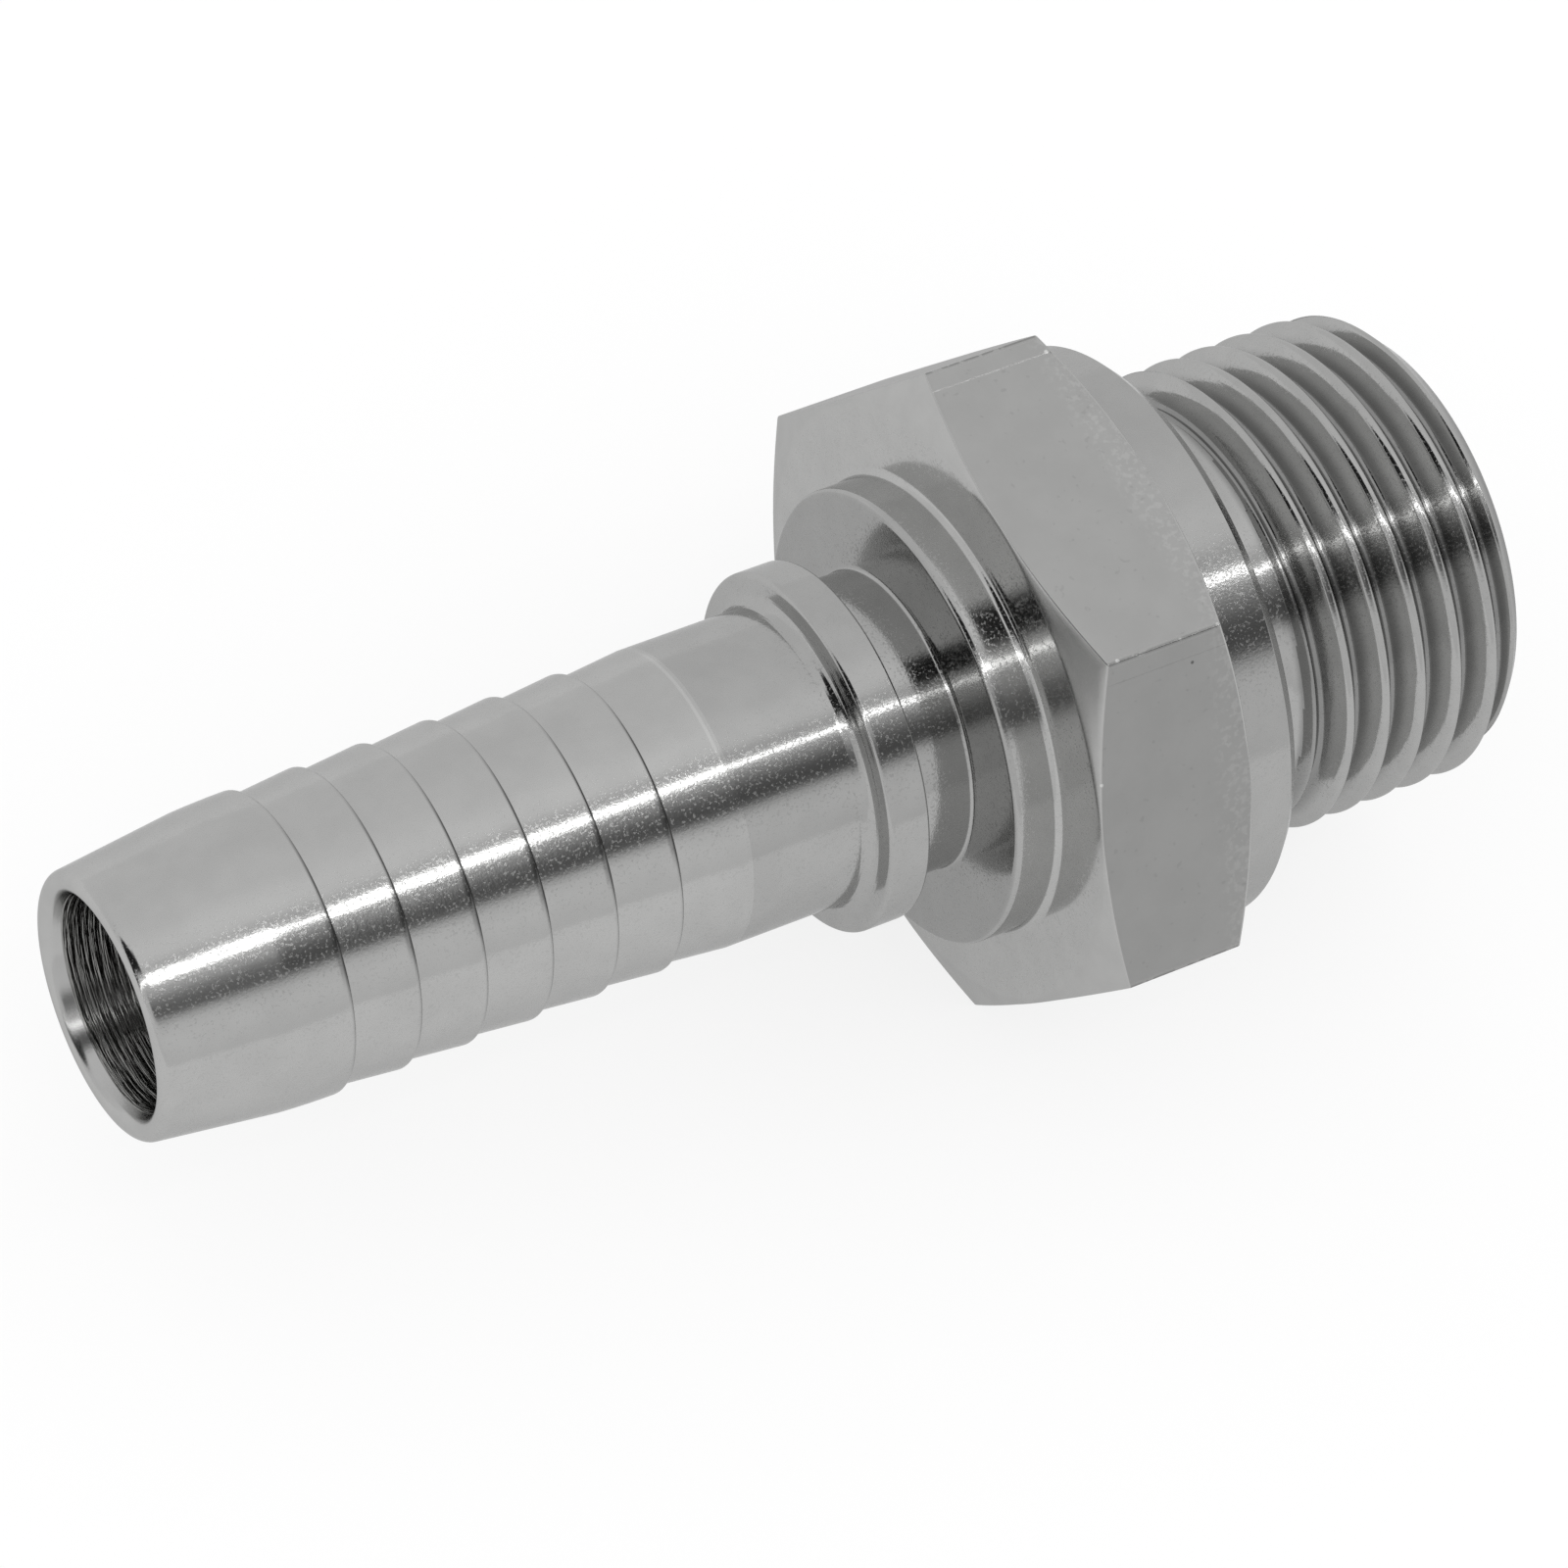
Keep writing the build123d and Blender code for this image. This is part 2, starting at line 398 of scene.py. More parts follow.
def addPiece(name, points, quads, finish):
    # Writes the quads as one smooth mesh and merges points that share a place.
    mesh = bpy.data.meshes.new(name)
    mesh.vertices.add(len(points))
    mesh.vertices.foreach_set("co", points.astype(np.float32).ravel())
    mesh.loops.add(quads.size)
    mesh.loops.foreach_set("vertex_index", quads.ravel().astype(np.int32))
    mesh.polygons.add(len(quads))
    mesh.polygons.foreach_set("loop_start", np.arange(0, quads.size, 4, dtype=np.int32))
    mesh.polygons.foreach_set("material_index", finish.ravel())
    mesh.update()
    work = bmesh.new()
    work.from_mesh(mesh)
    bmesh.ops.remove_doubles(work, verts=work.verts, dist=turning["mergeDistance"])
    bmesh.ops.dissolve_degenerate(work, edges=work.edges, dist=turning["shortEdge"])
    openEdges = sum(1 for edge in work.edges if len(edge.link_faces) != 2)
    work.to_mesh(mesh)
    work.free()
    mesh.polygons.foreach_set("use_smooth", np.ones(len(mesh.polygons), bool))
    mesh.update()
    piece = bpy.data.objects.new(name, mesh)
    bpy.context.collection.objects.link(piece)
    triangles = sum(len(face.vertices) - 2 for face in mesh.polygons)
    print(name, len(mesh.vertices), "points", triangles, "triangles", openEdges, "open edges")
    return piece


def buildTail():
    # Rows run round the axis and follow each other along the whole outline, and the last joins the
    # first. The finishes are 0 for turned, 1 for the hexagon's flats and 2 for the bore.
    a = columnAngles()
    tailX, tailR = spread(tailOutline(), a)
    hexX, hexR, flatStart, flatCount = hexagonRows(a)
    portX, portR = spread(portOutline(), a)
    threadX, threadR = threadRows(a)
    boreX, boreR = spread(boreOutline(), a)
    x = np.concatenate([tailX, hexX, portX, threadX, boreX])
    r = np.concatenate([tailR, hexR, portR, threadR, boreR])
    angle = np.radians(np.broadcast_to(a, x.shape))
    points = np.stack([x, -r * np.sin(angle), r * np.cos(angle)], 2).reshape(-1, 3) * mm
    rows, columns = x.shape
    index = np.arange(rows * columns).reshape(rows, columns)
    following = np.roll(index, -1, axis=0)
    quads = np.stack([index[:, :-1], index[:, 1:], following[:, 1:], following[:, :-1]], 2).reshape(-1, 4)
    finish = np.zeros((rows, columns - 1), np.int32)
    hexRow = len(tailX) + flatStart
    finish[hexRow:hexRow + flatCount] = 1
    inBore = np.append(boreR[1:, 0], tailR[0, 0]) < nose["boreRadius"] + turning["boreMargin"]
    finish[rows - len(boreX):] = np.where(inBore, 2, 0)[:, None]
    return addPiece("hoseTail", points, quads, finish)


def srgb(code):
    # Hex sRGB to linear RGBA.
    value = np.array([int(code[i:i + 2], 16) for i in (1, 3, 5)]) / 255
    linear = np.where(value <= 0.04045, value / 12.92, ((value + 0.055) / 1.055) ** 2.4)
    return (*linear.tolist(), 1.0)


def node(tree, kind, inputs=(), **settings):
    # Adds a shader node. Its inputs come in order, or by name in a dictionary. Each is a plain value,
    # a socket, or a node that stands for its first output. Settings are the node's attributes.
    made = tree.nodes.new("ShaderNode" + kind)
    for name, value in settings.items():
        setattr(made, name, value)
    for place, value in inputs.items() if isinstance(inputs, dict) else enumerate(inputs):
        if isinstance(value, bpy.types.Node):
            value = value.outputs[0]
        if isinstance(value, bpy.types.NodeSocket):
            tree.links.new(value, made.inputs[place])
        else:
            made.inputs[place].default_value = value
    return made


# Settings of a MapRange node that changes smoothly. Its inputs are a value and a fade, which is
# (start, end, level at the start, level at the end).
smooth = {"interpolation_type": "SMOOTHSTEP"}
# How strong each finer layer of a noise is, beside the one before
noiseRoughness = 0.6


def product(tree, *factors):
    result = factors[0]
    for factor in factors[1:]:
        result = node(tree, "Math", [result, factor], operation="MULTIPLY")
    return result


def window(tree, value, rise, fall):
    # 1 inside and 0 outside, with smooth edges: rise and fall are each (where it is 0, where it is 1).
    return product(
        tree,
        node(tree, "MapRange", [value, *rise, 0.0, 1.0], **smooth),
        node(tree, "MapRange", [value, *fall, 0.0, 1.0], **smooth),
    )


def band(tree, angle, centre, halfWidth, edge):
    # 1 within half a width of the centre, fading over edge degrees.
    fromCentre = node(tree, "Math", [angle, centre], operation="SUBTRACT")
    away = node(tree, "Math", [fromCentre], operation="ABSOLUTE")
    past = node(tree, "Math", [away, halfWidth], operation="SUBTRACT")
    return node(tree, "MapRange", [past, -edge / 2, edge / 2, 1.0, 0.0], **smooth)


def ramp(tree, value, ends, stops, interpolation="LINEAR"):
    # A level that depends on a value between two ends, given as (value, level) stops.
    low, high = ends
    share = node(tree, "MapRange", [value, low, high, 0.0, 1.0])
    levels = node(tree, "ValToRGB", [share])
    levels.color_ramp.interpolation = interpolation
    while len(levels.color_ramp.elements) < len(stops):
        levels.color_ramp.elements.new(0.5)
    for element, (place, level) in zip(levels.color_ramp.elements, stops):
        element.position = (place - low) / (high - low)
        element.color = (level, level, level, 1)
    return levels


def angleAboutX(tree, vector):
    # Degrees from +Z towards -Y, so that the world and the metal share one measure.
    split = node(tree, "SeparateXYZ", [vector])
    left = product(tree, split.outputs["Y"], -1.0)
    turn = node(tree, "Math", [left, split.outputs["Z"]], operation="ARCTAN2")
    return product(tree, turn, 180 / np.pi)


def latheCoordinates(tree):
    # Object coordinates in mm, and from them x, the direction from the axis and the distance to it.
    place = node(tree, "TexCoord").outputs["Object"]
    inMm = node(tree, "VectorMath", {"Vector": place, "Scale": 1 / mm}, operation="SCALE")
    split = node(tree, "SeparateXYZ", [inMm])
    across = node(tree, "CombineXYZ", {"Y": split.outputs["Y"], "Z": split.outputs["Z"]})
    return {
        "mm": inMm,
        "x": split.outputs["X"],
        "y": split.outputs["Y"],
        "outward": node(tree, "VectorMath", [across], operation="NORMALIZE"),
        "radius": node(tree, "VectorMath", [across], operation="LENGTH").outputs["Value"],
    }


def grain(tree, at, size, detail, depth):
    # Height of an even grain with features of a size in mm.
    noise = node(tree, "TexNoise", {
        "Vector": at["mm"], "Scale": 1 / size, "Detail": detail, "Roughness": noiseRoughness,
    })
    return product(tree, noise, depth)


def toolMarks(tree, at, across, around, detail, depth):
    # Height of the broken rings that a tool leaves, with features of one size in mm across them and
    # of about another around the axis. x + slant * radius runs across them on any turned surface.
    slant = 1.7
    typicalRadius = 8.0
    alongSurface = node(tree, "Math", [at["x"], product(tree, at["radius"], slant)], operation="ADD")
    line = node(tree, "CombineXYZ", [product(tree, alongSurface, 1 / across)])
    scale = typicalRadius / around
    circle = node(tree, "VectorMath", {"Vector": at["outward"], "Scale": scale}, operation="SCALE")
    where = node(tree, "VectorMath", [line, circle], operation="ADD")
    noise = node(tree, "TexNoise", {
        "Vector": where, "Scale": 1.0, "Detail": detail, "Roughness": noiseRoughness,
    })
    return product(tree, noise, depth)


def patches(tree, at, size, detail, edges, levels):
    # Patches of a size in mm: noise below the first edge has the first level, and above the second
    # edge the second level.
    noise = node(tree, "TexNoise", {
        "Vector": at["mm"], "Scale": 1 / size, "Detail": detail, "Roughness": noiseRoughness,
    })
    return node(tree, "MapRange", [noise, *edges, *levels], **smooth)


def nicks(tree, at, places, size, change):
    # A brightness factor: 1, changed inside small round marks.
    found = 0.0
    for place in places:
        away = node(tree, "VectorMath", [at["mm"], place], operation="DISTANCE").outputs["Value"]
        mark = node(tree, "MapRange", [away, size, 0.5 * size, 0.0, 1.0], **smooth)
        found = node(tree, "Math", [found, mark], operation="MAXIMUM")
    return node(tree, "Math", [found, change, 1.0], operation="MULTIPLY_ADD")


def newMaterial(name):
    material = bpy.data.materials.new(name)
    material.use_nodes = True
    material.node_tree.nodes.clear()
    return material, material.node_tree


def metalShader(tree, code, shade, roughness, height):
    # The colour is made lighter or darker by a factor that holds the metal's own patches and nicks and
    # the painted shade and highlights. The tint keeps the metal from whitening at grazing angles.
    tone = node(tree, "VectorMath", {"Vector": srgb(code)[:3], "Scale": shade}, operation="SCALE")
    bump = node(tree, "Bump", {"Strength": 1.0, "Distance": mm, "Height": height})
    shader = node(tree, "BsdfPrincipled", {
        "Base Color": tone,
        "Metallic": 1.0,
        "Roughness": roughness,
        "Normal": bump,
        "Specular Tint": (0.8, 0.8, 0.8, 1.0),
    })
    node(tree, "OutputMaterial", {"Surface": shader})


# Painted shade and a painted highlight at the barb edges. Windows are by x or by the angle about X,
# fades by the distance to the edge.
paintedBarbLines = {
    "firstEdge": nose["tipX"] + barbs["firstEdge"],
    "lastEdge": nose["tipX"] + barbs["firstEdge"] + barbs["count"] * barbs["pitch"],
    # A painted dark line before each edge but the last, for shade: its change of brightness all round,
    # and how much more on the side that faces the dark room
    "darkEdges": ((-44.2, -44.0), (-25.3, -25.5)),
    "line": (0.24, 0.1, 0.0, 1.0),
    "lineChange": -0.15,
    "openChange": -0.5,
    "openSide": ((-24.0, 12.0), (66.0, 42.0)),
    # It is wider where the dark room is mirrored, a painted reflection
    "wideLine": (0.4, 0.25, 0.0, -0.35),
    "darkSide": ((21.0, 26.0), (52.0, 42.0)),
    # A painted highlight: a thin light line a little before the last edge
    "lightLine": (0.1, 0.04, 0.0, 0.14),
    "lightBefore": 0.05,
    "lightSide": ((-60.0, -20.0), (40.0, 15.0)),
}


def paintedBarbShading(tree, x, angle):
    # A brightness factor of painted shade and highlight: 1, lower in the dark lines and higher in the light
    # one.
    marks = paintedBarbLines
    fromFirst = node(tree, "Math", [x, marks["firstEdge"]], operation="SUBTRACT")
    steps = node(tree, "Math", [fromFirst, barbs["pitch"]], operation="DIVIDE")
    share = node(tree, "Math", [steps], operation="FRACT")
    toEdge = node(tree, "Math", [share, -barbs["pitch"], barbs["pitch"]], operation="MULTIPLY_ADD")
    onEdges = window(tree, x, *marks["darkEdges"])
    line = product(tree, node(tree, "MapRange", [toEdge, *marks["line"]], **smooth), onEdges)
    openSide = window(tree, angle, *marks["openSide"])
    changes = [openSide, marks["openChange"], marks["lineChange"]]
    change = node(tree, "Math", changes, operation="MULTIPLY_ADD")
    dark = node(tree, "Math", [line, change, 1.0], operation="MULTIPLY_ADD")
    wide = product(tree, node(tree, "MapRange", [toEdge, *marks["wideLine"]], **smooth), onEdges)
    darkSide = window(tree, angle, *marks["darkSide"])
    wideDark = node(tree, "Math", [wide, darkSide, 1.0], operation="MULTIPLY_ADD")
    fromLast = node(tree, "Math", [x, marks["lastEdge"] - marks["lightBefore"]], operation="SUBTRACT")
    toLast = node(tree, "Math", [fromLast], operation="ABSOLUTE")
    lightLine = node(tree, "MapRange", [toLast, *marks["lightLine"]], **smooth)
    lightSide = window(tree, angle, *marks["lightSide"])
    light = node(tree, "Math", [lightLine, lightSide, 1.0], operation="MULTIPLY_ADD")
    return product(tree, dark, wideDark, light)


turnedFinish = {
    "tone": "#CACAC9",
    # Grain as (size, detail, depth), tool marks as (size across, size around, detail, depth), in mm.
    # The real ones, and the specks, are a few hundredths of a mm, so they are drawn coarser to show.
    "grain": (0.11, 1.0, 0.0018),
    "toolMarks": (0.3, 5.0, 2.0, 0.002),
    # Painted shade by section along the axis, and the strength of the tool marks, as (x, level), each from
    # that x on
    "axisEnds": (-52, 14),
    "toneAlong": [
        (-52, 1.0), (-23.07, 0.9), (-17.1, 0.89), (-15.2, 0.88), (-12.2, 1.0), (-2.95, 0.88),
        (0.05, 0.91), (13.2, 0.95),
    ],
    "marksAlong": [
        (-52, 1.0), (-44, 1.2), (-23.07, 1.0), (-15.2, 1.5), (-12.2, 0.8), (-10.3, 0.3), (-2.95, 1.5),
        (0.05, 1.0), (13.2, 0.6),
    ],
    # Patches as (size in mm, detail, noise at their edges, levels outside and inside)
    "clouds": (1.7, 3.0, (0.3, 0.7), (0.95, 1.0)),
    # Dull specks are extra roughness on the outside, by radius
    "specks": (0.13, 1.0, (0.54, 0.68), (0.0, 0.2)),
    "speckRadii": ((5.4, 5.6), (13.4, 13.0)),
    # Painted shade darkens the shoulder's front face, by the distance from it
    "faceShade": (0.02, 0.08, 0.86, 1.0),
    # Painted shade darkens the thread towards its roots, by x and by radius
    "threadStart": (thread["reliefEnd"] - 0.3, thread["reliefEnd"] + 0.1, 0.0, 1.0),
    "rootShade": (thread["majorRadius"] - 0.4, thread["majorRadius"] - 1.1, 0.0, -0.38),
    # Roughness by radius: bright metal, duller in the bore's mouth and near the hexagon's corners
    "roughness": (5.45, 5.25, 0.11, 0.2),
    "outerRoughness": (13.0, 13.45, 0.0, 0.26),
    "nicks": [(-8.9, -7.73, 13.5), (-10.08, -10.52, 8.78), (-49.12, 4.72, -1.66), (-49.29, -1.8, -4.67)],
    "nickSize": 0.1,
    "nickChange": 0.5,
}


def turnedSteel():
    # Stainless steel straight off the lathe: bright and mirror-like, with a fine grain and rings around
    # the axis that fray the edges of every reflection, and dull specks that pepper the dark ones.
    material, tree = newMaterial("turnedSteel")
    finish = turnedFinish
    at = latheCoordinates(tree)
    even = grain(tree, at, *finish["grain"])
    turned = toolMarks(tree, at, *finish["toolMarks"])
    height = product(
        tree,
        node(tree, "Math", [even, turned], operation="ADD"),
        ramp(tree, at["x"], finish["axisEnds"], finish["marksAlong"], "CONSTANT"),
    )
    fromFace = node(tree, "Math", [at["x"], shoulder["frontX"]], operation="SUBTRACT")
    toFace = node(tree, "Math", [fromFace], operation="ABSOLUTE")
    inThread = node(tree, "MapRange", [at["x"], *finish["threadStart"]], **smooth)
    deep = node(tree, "MapRange", [at["radius"], *finish["rootShade"]], **smooth)
    # Painted shade along the axis, on the shoulder's face, at the barb edges and in the thread's roots, and
    # a painted highlight on the last barb edge. The clouds and nicks are the metal's own
    shade = product(
        tree,
        ramp(tree, at["x"], finish["axisEnds"], finish["toneAlong"], "CONSTANT"),
        node(tree, "MapRange", [toFace, *finish["faceShade"]], **smooth),
        paintedBarbShading(tree, at["x"], angleAboutX(tree, at["mm"])),
        node(tree, "Math", [inThread, deep, 1.0], operation="MULTIPLY_ADD"),
        patches(tree, at, *finish["clouds"]),
        nicks(tree, at, finish["nicks"], finish["nickSize"], finish["nickChange"]),
    )
    inner = node(tree, "MapRange", [at["radius"], *finish["roughness"]], **smooth)
    outer = node(tree, "MapRange", [at["radius"], *finish["outerRoughness"]], **smooth)
    plain = node(tree, "Math", [inner, outer], operation="MAXIMUM")
    specked = window(tree, at["radius"], *finish["speckRadii"])
    specks = product(tree, patches(tree, at, *finish["specks"]), specked)
    roughness = node(tree, "Math", [plain, specks], operation="ADD")
    metalShader(tree, finish["tone"], shade, roughness, height)
    return material


drawnFinish = {
    "tone": "#BEBEBD",
    # Roughness by the distance from a flat's middle: satin, and rubbed bright at the corners
    "roughness": (7.58, 7.7, 0.34, 0.14),
    # Grain as (size, detail, depth) in mm, drawn coarser than the real skin's, which is too fine to show
    "grain": (0.16, 3.0, 0.005),
    # A faint step runs along each flat, by the place across it
    "step": (-6.87, -6.77, 0.0, 0.03),
    "clouds": (2.2, 4.0, (0.3, 0.7), (0.95, 1.0)),
    "specks": (0.35, 1.0, (0.68, 0.76), (1.0, 0.9)),
    # Painted shade darkens the flats towards -Y, by y
    "sideShade": (-7.76, -7.9, 1.0, 0.83),
    # A paler scuffed band along the rear edges, by x
    "scuffs": (0.3, 3.0, (0.48, 0.62), (0.0, 0.12)),
    "scuffAlong": (-5.0, -3.8, 0.0, 1.0),
    # Painted dark reflections run along the corners as short dashes
    "dashes": (0.6, 2.0, (0.44, 0.5), (0.0, -0.3)),
    "dashAcross": (7.66, 7.74, 0.0, 1.0),
    "brightNicks": [(-8.9, -7.73, 13.5), (-4.05, -7.74, 13.5), (-3.97, 6.88, 13.5), (-10.08, -10.52, 8.78)],
    "brightSize": 0.12,
    "brightChange": 0.7,
    "darkNicks": [(-3.78, -7.8, 13.45), (-3.76, 6.8, 13.5), (-5.4, -8.43, 12.4)],
    "darkSize": 0.1,
    "darkChange": -0.6,
}


def drawnSteel():
    # Cold drawn bar: the flats keep the die's satin skin, mottled and a little scuffed, and the
    # corners are rubbed bright.
    material, tree = newMaterial("drawnSteel")
    finish = drawnFinish
    at = latheCoordinates(tree)
    fromFirst = node(tree, "Math", [angleAboutX(tree, at["mm"]), 30.0], operation="ADD")
    inSixth = node(tree, "Math", [fromFirst, 60.0], operation="FLOORED_MODULO")
    fromMiddle = node(tree, "Math", [inSixth, 30.0], operation="SUBTRACT")
    sine = node(tree, "Math", [product(tree, fromMiddle, np.pi / 180)], operation="SINE")
    across = product(tree, at["radius"], sine)
    toCorner = node(tree, "Math", [across], operation="ABSOLUTE")
    step = node(tree, "MapRange", [across, *finish["step"]], **smooth)
    height = node(tree, "Math", [grain(tree, at, *finish["grain"]), step], operation="SUBTRACT")
    scuffAlong = node(tree, "MapRange", [at["x"], *finish["scuffAlong"]], **smooth)
    scuffs = patches(tree, at, *finish["scuffs"])
    dashAcross = node(tree, "MapRange", [toCorner, *finish["dashAcross"]], **smooth)
    dashes = patches(tree, at, *finish["dashes"])
    # The clouds, specks, scuffs and nicks are the bar's own. The darker flats towards -Y and the marks
    # along the corners are painted shade and painted reflections
    shade = product(
        tree,
        patches(tree, at, *finish["clouds"]),
        patches(tree, at, *finish["specks"]),
        node(tree, "MapRange", [at["y"], *finish["sideShade"]], **smooth),
        node(tree, "Math", [scuffAlong, scuffs, 1.0], operation="MULTIPLY_ADD"),
        nicks(tree, at, finish["brightNicks"], finish["brightSize"], finish["brightChange"]),
        nicks(tree, at, finish["darkNicks"], finish["darkSize"], finish["darkChange"]),
        node(tree, "Math", [dashAcross, dashes, 1.0], operation="MULTIPLY_ADD"),
    )
    roughness = node(tree, "MapRange", [toCorner, *finish["roughness"]], **smooth)
    metalShader(tree, finish["tone"], shade, roughness, height)
    return material


boredFinish = {
    "tone": "#9C9C9A",
    "roughness": 0.2,
    # As (size across, size around, detail, depth) in mm
    "toolMarks": (0.2, 7.0, 3.0, 0.16),
    # The marks fade where the bore widens, by radius
    "markStrength": (nose["boreRadius"] + 0.12, nose["boreRadius"] + 0.03, 0.02, 1.0),
}


def boredSteel():
    # Drilled and bored hole: dull, with coarse broken rings that scatter the light.
    material, tree = newMaterial("boredSteel")
    at = latheCoordinates(tree)
    strength = node(tree, "MapRange", [at["radius"], *boredFinish["markStrength"]], **smooth)
    height = product(tree, toolMarks(tree, at, *boredFinish["toolMarks"]), strength)
    metalShader(tree, boredFinish["tone"], 1.0, boredFinish["roughness"], height)
    return material


tail = buildTail()
tail.data.materials.append(turnedSteel())
tail.data.materials.append(drawnSteel())
tail.data.materials.append(boredSteel())
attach(tail, "root")
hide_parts("hose_tail")

# A tent of light with a narrow strip lamp near 19 degrees, and beside it an opening to a dark room.
# Angles are degrees about X from overhead towards -Y. The x of a direction is -1 towards the hose end.
studio = {
    # Light levels as (angle, level)
    "levels": [
        (-180, 0.62), (-90, 0.7), (-60, 0.67), (-20, 0.72), (-6, 0.79), (3, 0.78), (7, 0.70), (10, 0.57),
        (22, 0.55), (24, 0.50), (27, 0.36), (31, 0.23), (36, 0.14), (42, 0.09), (46, 0.11), (48.5, 0.16),
        (50.5, 0.32), (53, 0.50), (58, 0.66), (68, 0.70), (84, 0.67), (96, 0.62), (180, 0.62),
    ],
    # The opening is paler towards the nose (by x, then by angle), and the tent closes round that end
    "noseSide": (0.2, 0.15, 0.0, 1.0),
    "noseLevel": (22.0, 44.0, 0.62, 0.16),
    "endLevel": (-0.5, -0.8, 0.0, 0.6),
    # A dark seam turns and widens towards the hose end, all by x, with its angles in degrees
    "seamCentre": (-0.3, -0.95, 2.5, -18.0),
    "seamHalfWidth": (-0.3, -0.95, 9.5, 24.0),
    "seamDepth": (-0.12, -0.3, 0.0, 0.98),
    "seamEdge": 8.0,
    # The strip lamp is wider in its middle, by the distance from its x
    "stripLevel": 4.4,
    "stripCentre": 18.9,
    "stripX": 0.1,
    "stripHalfWidth": (0.06, 0.11, 3.3, 0.9),
    "stripEdge": 1.5,
    # Light that the tent gives the paper, and what the camera sees of the tent
    "paperLight": 1.25,
    "seenLevel": 1.0,
}


def lightTent():
    # Directions are sorted by their angle about X. A dark seam in the tent runs from overhead to -X.
    world = bpy.data.worlds.new("lightTent")
    world.use_nodes = True
    tree = world.node_tree
    tree.nodes.clear()
    direction = node(tree, "TexCoord").outputs["Generated"]
    x = node(tree, "SeparateXYZ", [direction])
    angle = angleAboutX(tree, direction)
    tent = ramp(tree, angle, (-180, 180), studio["levels"])
    towardsNose = product(
        tree,
        node(tree, "MapRange", [x, *studio["noseSide"]], **smooth),
        node(tree, "MapRange", [angle, *studio["noseLevel"]], **smooth),
    )
    tent = node(tree, "Math", [tent, towardsNose], operation="MAXIMUM")
    towardsEnd = node(tree, "MapRange", [x, *studio["endLevel"]], **smooth)
    tent = node(tree, "Math", [tent, towardsEnd], operation="MAXIMUM")
    seamCentre = node(tree, "MapRange", [x, *studio["seamCentre"]], **smooth)
    seamHalfWidth = node(tree, "MapRange", [x, *studio["seamHalfWidth"]], **smooth)
    seam = product(
        tree,
        band(tree, angle, seamCentre, seamHalfWidth, studio["seamEdge"]),
        node(tree, "MapRange", [x, *studio["seamDepth"]], **smooth),
    )
    tent = product(tree, tent, node(tree, "Math", [1.0, seam], operation="SUBTRACT"))
    fromStripX = node(tree, "Math", [x, studio["stripX"]], operation="SUBTRACT")
    toStripX = node(tree, "Math", [fromStripX], operation="ABSOLUTE")
    stripHalfWidth = node(tree, "MapRange", [toStripX, *studio["stripHalfWidth"]], **smooth)
    strip = band(tree, angle, studio["stripCentre"], stripHalfWidth, studio["stripEdge"])
    level = node(tree, "Math", [strip, studio["stripLevel"], tent], operation="MULTIPLY_ADD")
    path = node(tree, "LightPath")
    onPaper = node(tree, "Mix", {
        "Factor": path.outputs["Is Diffuse Ray"], "A": level, "B": studio["paperLight"],
    }, data_type="FLOAT")
    strength = node(tree, "Mix", {
        "Factor": path.outputs["Is Camera Ray"], "A": onPaper, "B": studio["seenLevel"],
    }, data_type="FLOAT")
    background = node(tree, "Background", {"Color": (1, 1, 1, 1), "Strength": strength})
    node(tree, "OutputWorld", {"Surface": background})
    bpy.context.scene.world = world


paper = {
    "size": 3.0,
    "gap": 0.02,
    "tone": "#F0F0F0",
    # Share of glow in what is seen, and its level to the camera and in the metal
    "glow": 0.8,
    "seenLevel": 1.0,
    "levelInMetal": 0.68,
}


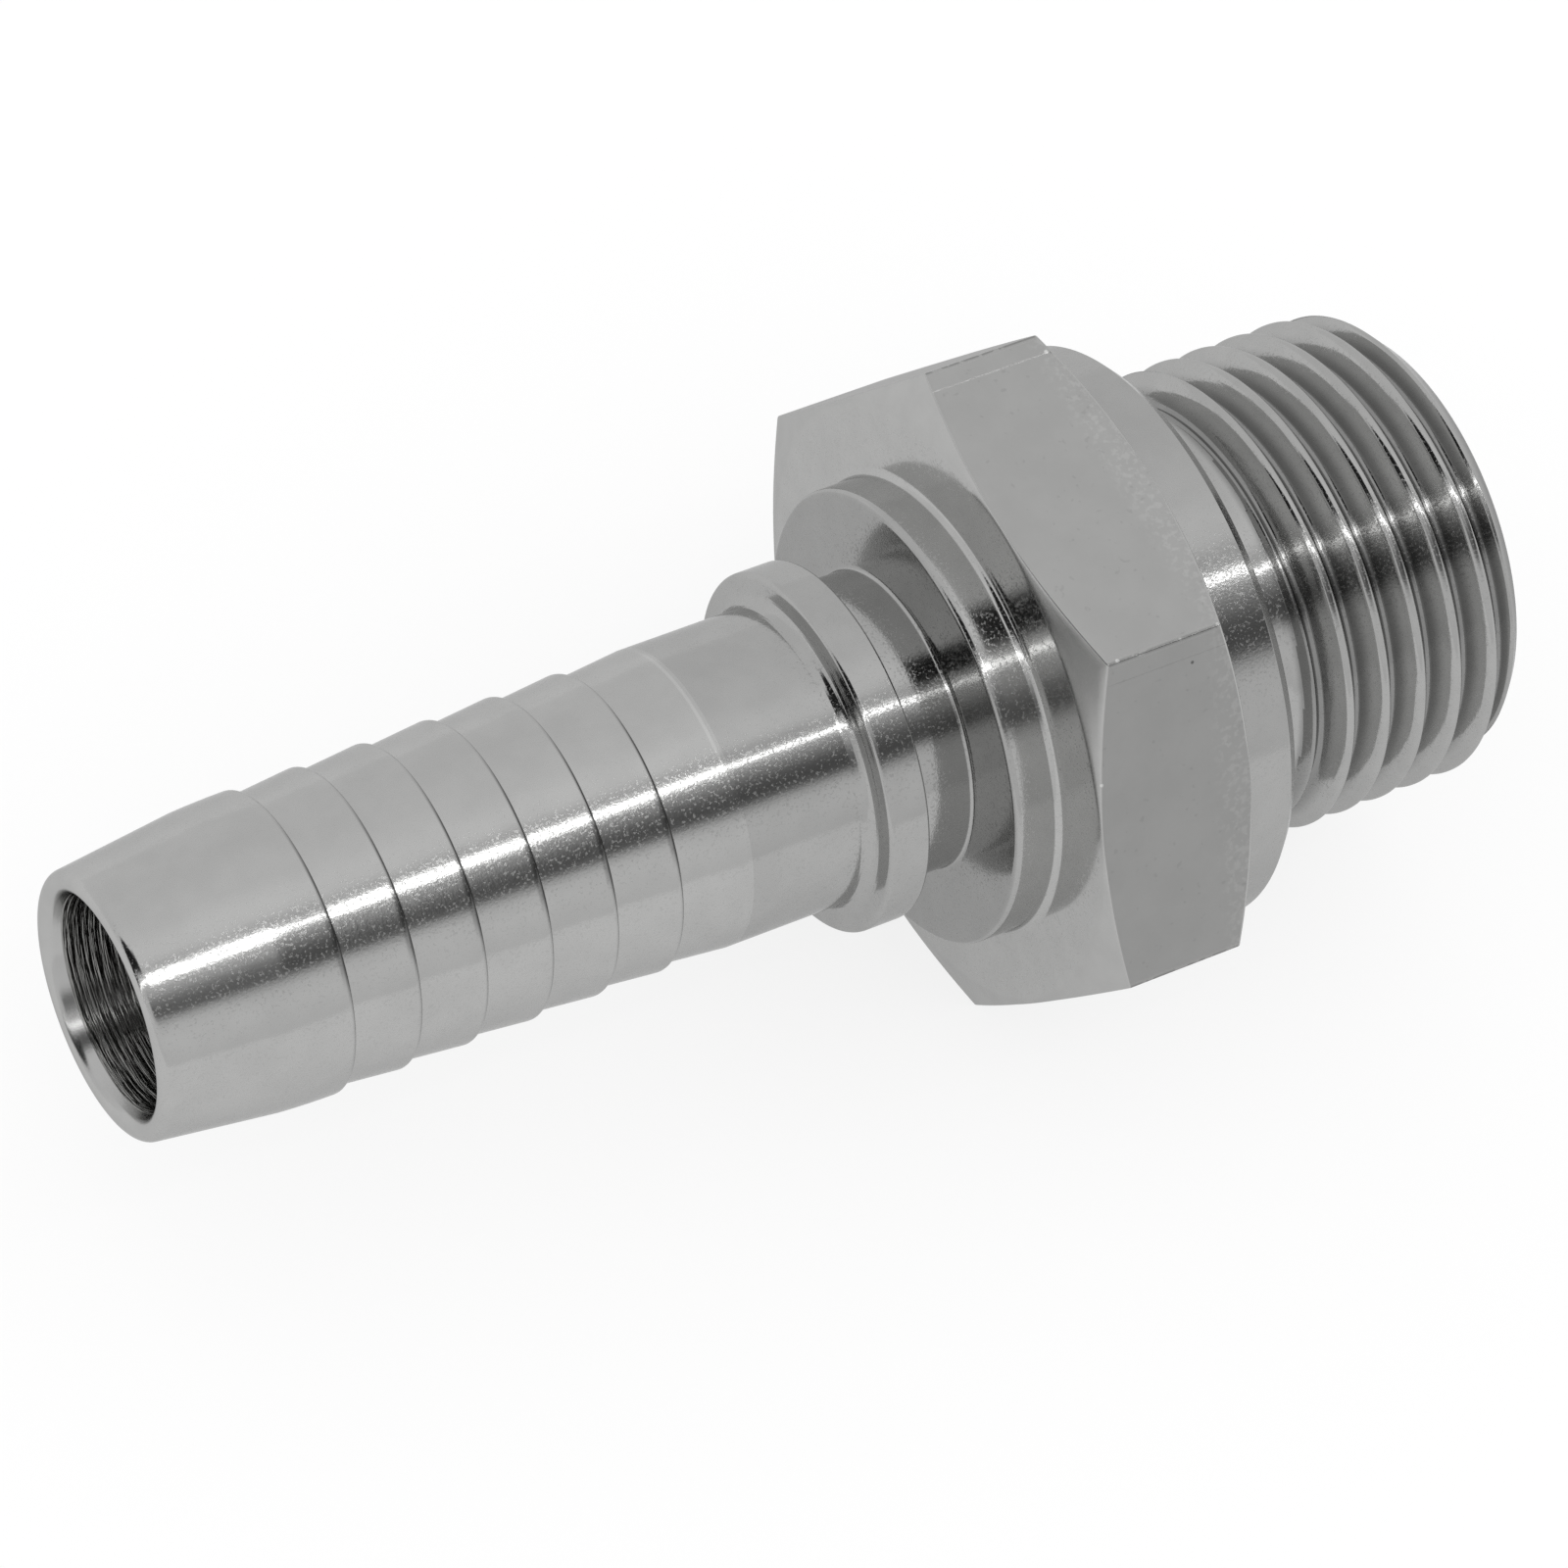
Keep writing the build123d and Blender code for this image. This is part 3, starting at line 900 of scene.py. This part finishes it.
def paleFloor():
    # White paper: it takes the part's shadow, glows towards the camera and in the metal so that it
    # stays white there, lights nothing by that glow, and is clear from below.
    half = paper["size"] / 2
    z = lowCorner[2] - paper["gap"] * mm
    corners = [(-half, -half, z), (half, -half, z), (half, half, z), (-half, half, z)]
    mesh = bpy.data.meshes.new("floor")
    mesh.from_pydata(corners, [], [(0, 1, 2, 3)])
    floor = bpy.data.objects.new("floor", mesh)
    bpy.context.collection.objects.link(floor)
    material, tree = newMaterial("whitePaper")
    path = node(tree, "LightPath")
    rays = [path.outputs[name] for name in ("Is Camera Ray", "Is Glossy Ray", "Is Transmission Ray")]
    seen = node(tree, "Math", rays[:2], operation="ADD")
    seen = node(tree, "Math", [seen, rays[2]], operation="ADD", use_clamp=True)
    brightness = node(tree, "Mix", {
        "Factor": rays[0], "A": paper["levelInMetal"], "B": paper["seenLevel"],
    }, data_type="FLOAT")
    glow = node(tree, "Emission", {"Strength": brightness})
    sheet = node(tree, "BsdfDiffuse", {"Color": srgb(paper["tone"])})
    mixed = node(tree, "MixShader", [product(tree, seen, paper["glow"]), sheet, glow])
    behind = node(tree, "NewGeometry").outputs["Backfacing"]
    clear = node(tree, "BsdfTransparent")
    oneSided = node(tree, "MixShader", [behind, mixed, clear])
    node(tree, "OutputMaterial", {"Surface": oneSided})
    mesh.materials.append(material)


lightTent()
paleFloor()
print("light tent and floor ready")

# The camera is fitted to the photograph: its focal length in pixels, how far the part's axis tilts
# away and slopes up in view, a point on that axis and the turn of the side that faces the camera.
photo = {
    "pixels": 1600,
    "focal": 8044.0,
    "tiltAway": 0.40439,
    "slope": 0.35212,
    "axisPoint": (2.04887, -1.85032, 332.53685),
    "axisPointX": -15.2,
    "turn": 26.07,
    "sensorWidth": 36.0,
    "clip": (0.01, 20.0),
}


def addCamera():
    # In camera axes (x right, y down, z away) the bore axis is A, E1 is the side that faces the camera
    # and E2 = A x E1. In the part's axes they are X, a direction at angle turn, and the same plus 90.
    tilt, slope, turn = photo["tiltAway"], photo["slope"], np.radians(photo["turn"])
    axis = np.array([np.cos(tilt) * np.cos(slope), -np.cos(tilt) * np.sin(slope), np.sin(tilt)])
    facing = np.array([np.sin(tilt) * np.cos(slope), -np.sin(tilt) * np.sin(slope), -np.cos(tilt)])
    sideways = np.array([np.sin(slope), np.cos(slope), 0.0])
    partFacing = np.array([0, -np.sin(turn), np.cos(turn)])
    partSideways = np.array([0, -np.cos(turn), -np.sin(turn)])
    toPart = np.outer([1.0, 0, 0], axis) + np.outer(partFacing, facing) + np.outer(partSideways, sideways)
    place = (np.array([photo["axisPointX"], 0, 0]) - toPart @ np.array(photo["axisPoint"])) * mm
    right, up, back = toPart[:, 0], -toPart[:, 1], -toPart[:, 2]
    data = bpy.data.cameras.new("camera")
    data.sensor_width = photo["sensorWidth"]
    data.lens = photo["focal"] / photo["pixels"] * data.sensor_width
    data.clip_start, data.clip_end = photo["clip"]
    camera = bpy.data.objects.new("camera", data)
    bpy.context.collection.objects.link(camera)
    turned = Matrix((Vector(right), Vector(up), Vector(back))).transposed()
    camera.matrix_world = Matrix.Translation(Vector(place)) @ turned.to_4x4()
    bpy.context.scene.camera = camera
    print("camera at", [round(value, 5) for value in place])


addCamera()
bpy.context.scene.view_settings.view_transform = "Standard"
